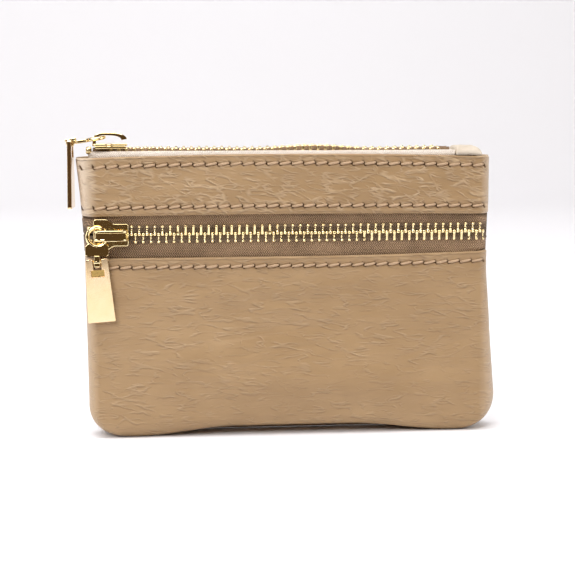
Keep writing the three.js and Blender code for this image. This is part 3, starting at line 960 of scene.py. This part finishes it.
def make_pulls(*metals):
    tilt = math.radians(TOP_PULL_TILT)
    ring = np.array([TOP_SLIDER_X - TOP_RING_BACK, 0, TOP_CHAIN_Z + RING_W])
    down_left = np.array([-math.cos(tilt), 0, -math.sin(tilt)])
    flat = np.array([-math.sin(tilt), 0, math.cos(tilt)])
    link_axes = ((0, -1, 0), tuple(-down_left), tuple(flat))
    pin = ring + KNUCKLE_DROP * down_left
    turn = math.radians(TOP_TAB_TURN)
    tab_axes = (
        (math.sin(turn), math.cos(turn), 0), (0, 0, 1), (math.cos(turn), -math.sin(turn), 0),
    )
    make_pull("top", link_axes, ring, tab_axes, pin, TOP_BLADE_LENGTH, metals)
    ring = np.array([
        FRONT_SLIDER_X - FRONT_RING_BACK, FRONT_CHAIN[1] - RING_W, FRONT_CHAIN[2] - FRONT_RING_DROP,
    ])
    pin = ring - np.array([0, FRONT_PIN_OUT, KNUCKLE_DROP])
    tip = math.radians(FRONT_LINK_TIP)
    link_axes = (
        (1, 0, 0), (0, math.sin(tip), math.cos(tip)), (0, -math.cos(tip), math.sin(tip)),
    )
    lean = math.radians(FRONT_PULL_LEAN)
    tab_axes = (
        (math.cos(lean), 0, math.sin(lean)), (-math.sin(lean), 0, math.cos(lean)), (0, -1, 0),
    )
    make_pull("front", link_axes, ring, tab_axes, pin, FRONT_BLADE_LENGTH, metals)


# ---- padded end tab --------------------------------------------------------
def make_end_tab(material):
    lo, hi = TAB_BOX
    u = np.linspace(-1, 1, 46)
    v = np.linspace(-1, 1, 60)
    v = np.sign(v) * np.abs(v) ** 0.8
    uu, vv = np.meshgrid(u, v)
    right_round = np.where(uu > 0, (np.abs(uu)) ** 5, np.abs(uu) ** 14)
    crown = np.clip(1 - right_round, 0, 1) ** 0.5 * np.clip(1 - np.abs(vv) ** 5, 0, 1) ** 0.5
    corner = 1 - 0.16 * np.clip(uu, 0, 1) ** 4
    x = (lo[0] + hi[0]) / 2 - 1.6 + uu * (hi[0] - lo[0]) / 2
    y = vv * (hi[1] - lo[1]) / 2 * corner
    lumps = 0.12 * noise(x / 1.8, y / 2.2, 3) + 0.05 * noise(x / 0.6, y / 0.6, 4)
    sag = 0.5 + 0.25 * np.abs(vv) ** 2 + 0.5 * np.clip(uu, 0, 1) ** 2
    top = lo[2] - 0.2 + (hi[2] - lo[2] + 0.1) * crown + lumps * crown - sag
    inner_top = np.minimum(top - 0.05, lo[2] - 0.3 + (hi[2] - lo[2] - 0.9) * crown)
    ragged = 0.18 * noise(y / 0.5, y * 0, 8) * (uu < -0.9)
    outer = np.stack([x + ragged, y, top], axis=-1)
    inner = np.stack([x + ragged, y * 0.93, inner_top], axis=-1)
    piece = closed_piece("end_tab_leather", closed_sheet(outer, inner), material)
    settle(piece, "pouch", "pale_leather", "zip_end_tab")


# ---- materials --------------------------------------------------------------
def blank(name):
    material = bpy.data.materials.new(name)
    material.use_nodes = True
    tree = material.node_tree
    tree.nodes.clear()
    out = tree.nodes.new("ShaderNodeOutputMaterial")
    shader = tree.nodes.new("ShaderNodeBsdfPrincipled")
    tree.links.new(shader.outputs[0], out.inputs[0])
    return material, tree, shader


def add_node(tree, kind, sockets, **settings):
    """A node whose inputs are given as values, or as the outputs that feed them."""
    node = tree.nodes.new("ShaderNode" + kind)
    for name, value in settings.items():
        setattr(node, name, value)
    for name, value in sockets.items():
        if isinstance(value, bpy.types.NodeSocket):
            tree.links.new(value, node.inputs[name])
        else:
            node.inputs[name].default_value = value
    return node


def mapped(tree, scale=(1, 1, 1)):
    where = add_node(tree, "TexCoord", {}).outputs["Object"]
    return add_node(tree, "Mapping", {"Vector": where, "Scale": scale}).outputs[0]


def object_xyz(tree):
    split = add_node(tree, "SeparateXYZ", {0: add_node(tree, "TexCoord", {}).outputs["Object"]})
    return [split.outputs[axis] for axis in "XYZ"]


def noise_node(tree, vector, scale, detail, rough):
    sockets = {"Vector": vector, "Scale": scale, "Detail": detail, "Roughness": rough}
    return add_node(tree, "TexNoise", sockets).outputs["Fac"]


def ramp(tree, value, stops):
    node = add_node(tree, "ValToRGB", {0: value})
    elements = node.color_ramp.elements
    while len(elements) < len(stops):
        elements.new(0.5)
    for element, (at, colour) in zip(elements, stops):
        element.position = at
        element.color = (*colour, 1)
    return node.outputs[0]


def greys(tree, value, *stops):
    """A ramp between greys, each stop being (position, lightness)."""
    return ramp(tree, value, tuple((at, (grey,) * 3) for at, grey in stops))


def math_node(tree, kind, *values):
    return add_node(tree, "Math", dict(enumerate(values)), operation=kind).outputs[0]


def times(tree, a, b):
    return math_node(tree, "MULTIPLY", a, b)


def plus(tree, a, b):
    return math_node(tree, "ADD", a, b)


def mix(tree, share, first, second):
    sockets = {"Factor": share}
    for name, value in (("A", first), ("B", second)):
        sockets[name] = (*value, 1) if isinstance(value, tuple) else value
    return add_node(tree, "Mix", sockets, data_type="RGBA").outputs["Result"]


def surface(tree, shader, colour, height, distance, strength, rough=None):
    """Gives the shader a colour, a height for its bumps and, if it's one number, its roughness."""
    tree.links.new(colour, shader.inputs["Base Color"])
    if rough is not None:
        shader.inputs["Roughness"].default_value = rough
    sockets = {"Height": height, "Distance": distance, "Strength": strength}
    tree.links.new(add_node(tree, "Bump", sockets).outputs[0], shader.inputs["Normal"])


def turned(tree, cell, angle, warp, drop=0.0):
    """Coordinates counted in cells of that size, turned in the XZ plane and warped."""
    where = add_node(tree, "TexCoord", {}).outputs["Object"]
    turn = {"Vector": where, "Rotation": (0, math.radians(angle), 0), "Location": (0, 0, drop)}
    rotated = add_node(tree, "Mapping", turn).outputs[0]
    drift = noise_node(tree, rotated, 130, 3, 0.5).node.outputs["Color"]
    shift = {0: drift, 1: (warp, warp, warp), 2: rotated}
    warped = add_node(tree, "VectorMath", shift, operation="MULTIPLY_ADD").outputs[0]
    cells = {"Vector": warped, "Scale": [1 / side for side in cell]}
    return add_node(tree, "Mapping", cells).outputs[0]


def fold_lines(tree, kind, cell, angle, warp, width, drop=0.0):
    """Thin folds, 1 on a line: a branching net or flowing strokes. drop looks above, so that copy
    lands just below each fold and carries its painted shadow.
    """
    vector = turned(tree, cell, angle, warp, drop)
    if kind == "net":
        sockets = {"Vector": vector, "Scale": 1}
        cells = add_node(tree, "TexVoronoi", sockets, feature="DISTANCE_TO_EDGE")
        off = cells.outputs["Distance"]
    else:
        flow = noise_node(tree, vector, 1.0, 1, 0.5)
        off = math_node(tree, "ABSOLUTE", math_node(tree, "SUBTRACT", flow, 0.5))
    lines = greys(tree, off, (0.0, 1), (width, 0))
    lines.node.color_ramp.interpolation = "EASE"
    return lines


def tapered(tree, lines, cover, strength):
    """Lets a line thin out and end where the cover is low."""
    spare = math_node(tree, "SUBTRACT", plus(tree, lines, cover), 1.0)
    return times(tree, math_node(tree, "MAXIMUM", spare, 0.0), strength)


def patches(tree, scale, low_share, start, end):
    """Soft patches, from low_share to 1, that make the lines come and go."""
    cloud = noise_node(tree, mapped(tree, (1, 1, 1.6)), scale, 3, 0.6)
    return greys(tree, cloud, (start, low_share), (end, 1))


def leather_material(name, folds, painted_highlight_share, painted_shadow_share, ridge, swell, side_light_share):
    """folds is a list of (strength, kind, cell, angle, warp, width) for the fold lines."""
    material, tree, shader = blank(name)
    vector = mapped(tree)
    tone = noise_node(tree, mapped(tree, (0.6, 1, 1.5)), 60, 4, 0.6)
    colour = ramp(tree, tone, (
        (0.3, (0.303, 0.191, 0.093)), (0.52, (0.344, 0.221, 0.110)), (0.75, (0.385, 0.253, 0.131)),
    ))
    gaps = noise_node(tree, turned(tree, (0.0042, 0.003, 0.0024), -10, 0.002), 1.0, 1, 0.5)
    breaks = greys(tree, gaps, (0.36, 0), (0.6, 1))
    cover = times(tree, patches(tree, 48, 0.45, 0.36, 0.58), breaks)
    ridges_with_painted_light, painted_fold_shadow = None, None
    for strength, kind, cell, angle, warp, width in folds:
        lines = fold_lines(tree, kind, cell, angle, warp, width)
        above = fold_lines(tree, kind, cell, angle, warp, width * 1.2, 0.0004)
        # bright is the fold line that gets the painted highlight and the bump; below is the copy
        # under it that gets the painted shadow
        bright = tapered(tree, lines, cover, strength)
        below = tapered(tree, above, cover, strength)
        ridges_with_painted_light = bright if ridges_with_painted_light is None else math_node(tree, "MAXIMUM", ridges_with_painted_light, bright)
        painted_fold_shadow = below if painted_fold_shadow is None else math_node(tree, "MAXIMUM", painted_fold_shadow, below)
    # Painted shade and light: a dark line under each fold and a light line on it, as if lit from
    # above
    colour = mix(tree, times(tree, painted_fold_shadow, painted_shadow_share), colour, (0.17, 0.10, 0.048))
    colour = mix(tree, times(tree, ridges_with_painted_light, painted_highlight_share), colour, (0.64, 0.47, 0.29))
    # Painted highlight: the leather turns paler over the last few millimetres at both sides, as if
    # lit from the sides
    out = math_node(tree, "ABSOLUTE", object_xyz(tree)[0])
    painted_side_light = greys(tree, times(tree, out, 10), (0.630, 0), (0.675, side_light_share))
    colour = mix(tree, painted_side_light, colour, (0.66, 0.54, 0.42))
    # Painted shade: the needle holes and the line under each stitch turn dark brown
    stitch_shade = add_node(tree, "Attribute", {}, attribute_name="stitch_shade_mask").outputs["Fac"]
    stitch_shade_share = greys(tree, stitch_shade, (0.2, 0), (0.7, 1))
    colour = mix(tree, stitch_shade_share, colour, (0.095, 0.050, 0.022))
    fine = noise_node(tree, vector, 2600, 2, 0.6)
    soft = noise_node(tree, mapped(tree, (0.25, 1, 1.1)), 330, 3, 0.55)
    relief = times(tree, ridges_with_painted_light, ridge)
    relief = plus(tree, relief, times(tree, fine, 0.3))
    relief = plus(tree, relief, times(tree, soft, swell))
    surface(tree, shader, colour, relief, 0.0001, 1.0)
    gloss = greys(tree, tone, (0.3, 0.36), (0.8, 0.50))
    tree.links.new(math_node(tree, "MAXIMUM", gloss, stitch_shade_share), shader.inputs["Roughness"])
    shader.inputs["Specular IOR Level"].default_value = 0.4
    return material


def pale_leather_material():
    material, tree, shader = blank("pale_leather")
    vector = mapped(tree)
    tone = noise_node(tree, vector, 220, 4, 0.6)
    colour = ramp(tree, tone, ((0.3, (0.49, 0.41, 0.32)), (0.7, (0.58, 0.51, 0.42))))
    surface(tree, shader, colour, noise_node(tree, vector, 1500, 3, 0.6), 0.00012, 0.6, 0.6)
    return material


def tape_material(name, shades, chain_z=None):
    """A fine herringbone weave, darker in the shade of the chain at that height."""
    material, tree, shader = blank(name)
    x, y, z = object_xyz(tree)
    across = plus(tree, z, y)
    lean = plus(tree, x, math_node(tree, "PINGPONG", across, 0.0009))
    rib = math_node(tree, "SINE", times(tree, lean, 2 * math.pi / 0.00075))
    pick = math_node(tree, "SINE", times(tree, across, 2 * math.pi / 0.0005))
    height = plus(tree, rib, times(tree, pick, 0.4))
    vector = mapped(tree)
    height = plus(tree, height, noise_node(tree, vector, 3000, 2, 0.7))
    patch = noise_node(tree, vector, 90, 3, 0.6)
    mixed = plus(tree, times(tree, height, 0.34), patch)
    colour = ramp(tree, mixed, tuple(zip((0.2, 0.55, 0.9), shades)))
    if chain_z is not None:
        off = math_node(tree, "ABSOLUTE", math_node(tree, "SUBTRACT", z, chain_z * MM))
        shade = greys(tree, times(tree, off, 100), (0.2, 0.62), (0.34, 0))
        colour = mix(tree, shade, colour, (0.05, 0.032, 0.014))
    surface(tree, shader, colour, height, 0.00012, 1.0, 0.85)
    shader.inputs["Sheen Weight"].default_value = 0.08
    return material


def lining_material():
    material, tree, shader = blank("lining_cloth")
    vector = mapped(tree)
    tone = noise_node(tree, vector, 120, 3, 0.6)
    colour = ramp(tree, tone, ((0.3, (0.12, 0.075, 0.045)), (0.7, (0.19, 0.125, 0.08))))
    weave = noise_node(tree, mapped(tree, (1, 1, 6)), 1400, 2, 0.6)
    surface(tree, shader, colour, weave, 0.00008, 0.6, 0.6)
    shader.inputs["Sheen Weight"].default_value = 0.3
    return material


def thread_material():
    material, tree, shader = blank("thread")
    x, _, z = object_xyz(tree)
    twist = plus(tree, x, times(tree, z, 1.2))
    strands = math_node(tree, "SINE", times(tree, twist, 2 * math.pi / 0.00045))
    colour = ramp(tree, strands, ((0.0, (0.44, 0.29, 0.17)), (0.7, (0.62, 0.44, 0.29))))
    surface(tree, shader, colour, strands, 0.00006, 0.8, 0.7)
    return material


def gold_material(name, rough, ripple, tint=(1, 1, 1)):
    material, tree, shader = blank(name)
    vector = mapped(tree)
    tone = noise_node(tree, vector, 130, 3, 0.6)
    shades = [tuple(np.multiply(gold, tint)) for gold in ((0.93, 0.74, 0.38), (0.98, 0.82, 0.48))]
    colour = ramp(tree, tone, tuple(zip((0.3, 0.7), shades)))
    shader.inputs["Metallic"].default_value = 1.0
    wear = noise_node(tree, vector, 900, 3, 0.7)
    gloss = greys(tree, wear, (0.3, rough), (0.75, rough * 1.4))
    tree.links.new(gloss, shader.inputs["Roughness"])
    surface(tree, shader, colour, noise_node(tree, vector, 190, 1, 0.4), ripple, 1.0)
    return material


# ---- camera, light and floor ---------------------------------------------
FLOOR_FRONT, FLOOR_BACK, FLOOR_SIDE = 0.50, 0.9, 3.0  # metres, like all in this section
SWEEP = 0.5  # radius of the bend from the floor up to the backdrop
BACKDROP_TOP = 3.0
FLOOR_DROP = 0.00005


def make_camera():
    data = bpy.data.cameras.new("camera")
    cam = bpy.data.objects.new("camera", data)
    bpy.context.scene.collection.objects.link(cam)
    bpy.context.scene.camera = cam
    azimuth, elevation, distance = math.radians(-6.2), math.radians(7.5), 0.55
    back = Vector((
        math.sin(azimuth) * math.cos(elevation),
        -math.cos(azimuth) * math.cos(elevation),
        math.sin(elevation),
    ))
    target = Vector((-0.0005, 0, 0.0482))
    cam.location = target + back * distance
    cam.rotation_euler = (-back).to_track_quat("-Z", "Y").to_euler()
    data.lens = 103.6
    data.clip_start = 0.01
    data.clip_end = 20


def area(name, place, aim, size, power, colour=(1, 1, 1)):
    data = bpy.data.lights.new(name, "AREA")
    data.shape = "RECTANGLE"
    data.size, data.size_y = size
    data.energy = power
    data.color = colour
    lamp = bpy.data.objects.new(name, data)
    lamp.location = place
    direction = Vector(aim) - Vector(place)
    lamp.rotation_euler = direction.to_track_quat("-Z", "Y").to_euler()
    bpy.context.scene.collection.objects.link(lamp)


def make_studio():
    scene = bpy.context.scene
    scene.view_settings.view_transform = "Standard"
    world = bpy.data.worlds.new("studio")
    world.use_nodes = True
    sky = world.node_tree.nodes["Background"]
    sky.inputs["Color"].default_value = (1.0, 0.64, 0.34, 1)
    sky.inputs["Strength"].default_value = 0.09
    scene.world = world
    area("top_softbox", (-0.1, -0.15, 0.9), (0, 0, 0.03), (1.0, 0.8), 11)
    area("front_softbox", (-0.45, -0.95, 0.75), (0, 0, 0.05), (0.5, 0.4), 7)
    area("right_softbox", (0.8, -0.2, 0.4), (0, 0, 0.04), (0.3, 0.6), 3)
    area("left_softbox", (-0.8, 0.1, 0.3), (0, 0, 0.04), (0.3, 0.5), 2)
    area("back_light", (0.0, 0.6, 0.9), (0, 1.4, 0.2), (3.6, 0.5), 10)
    floor_material, _, shader = blank("floor")
    shader.inputs["Base Color"].default_value = (0.89, 0.89, 0.925, 1)
    shader.inputs["Roughness"].default_value = 0.6
    run = [(-FLOOR_FRONT, 0.0)]
    for a in np.linspace(0, 1.45, 14):
        run.append((FLOOR_BACK + SWEEP * math.sin(a), SWEEP - SWEEP * math.cos(a)))
    run.append((run[-1][0] + 0.2, BACKDROP_TOP))
    level = CAD_BOX[0][2] - FLOOR_DROP
    sides = (-FLOOR_SIDE, FLOOR_SIDE)
    points = [(x / MM, y / MM, (z + level) / MM) for y, z in run for x in sides]
    faces = [[2 * i, 2 * i + 1, 2 * i + 3, 2 * i + 2] for i in range(len(run) - 1)]
    floor = new_object("floor", points, faces, floor_material)


make_camera()
make_studio()
band_leather = leather_material(
    "band_leather",
    (
        (0.9, "net", (0.0088, 0.006, 0.0024), -11, 0.0028, 0.12),
        (1.0, "flow", (0.0120, 0.006, 0.0026), -11, 0.0015, 0.055),
        (0.8, "flow", (0.0085, 0.005, 0.0019), -4, 0.0012, 0.05),
    ),
    0.5, 0.56, 2.4, 2.6, 0.8,
)
panel_leather = leather_material(
    "panel_leather",
    (
        (1.0, "flow", (0.0150, 0.006, 0.0027), -6, 0.0014, 0.05),
        (0.8, "flow", (0.0100, 0.005, 0.0020), 3, 0.0012, 0.05),
    ),
    0.24, 0.46, 1.9, 3.0, 0.4,
)
front_shades = ((0.07, 0.039, 0.018), (0.212, 0.125, 0.063), (0.42, 0.27, 0.153))
tape = tape_material("front_tape", front_shades, FRONT_CHAIN[2])
pale_tape = tape_material("top_tape", ((0.66, 0.55, 0.46), (0.82, 0.71, 0.61), (0.90, 0.82, 0.74)))
chain_gold = gold_material("chain_gold", 0.2, 0.00004)
pull_gold = gold_material("pull_gold", 0.05, 0.000003)
make_leather(band_leather, panel_leather)
make_stitching(thread_material())
make_linings(lining_material())
make_tapes(pale_tape, tape)
make_chains(chain_gold, tape)
make_slider("top_slider", TOP_SLIDER_X, TOP_AXES, TOP_ORIGIN, pull_gold)
make_slider("front_slider", FRONT_SLIDER_X, FRONT_AXES, FRONT_ORIGIN, pull_gold)
blade_gold = gold_material("blade_gold", 0.09, 0.000006, (0.95, 0.87, 0.955))
# Painted shade: the floor of the tab's window is a darker gold, standing in for the shade in that
# recess
shaded_recess_gold = gold_material("shaded_recess_gold", 0.25, 0.000006, (0.68, 0.56, 0.34))
make_pulls(pull_gold, blade_gold, shaded_recess_gold)
make_end_tab(pale_leather_material())
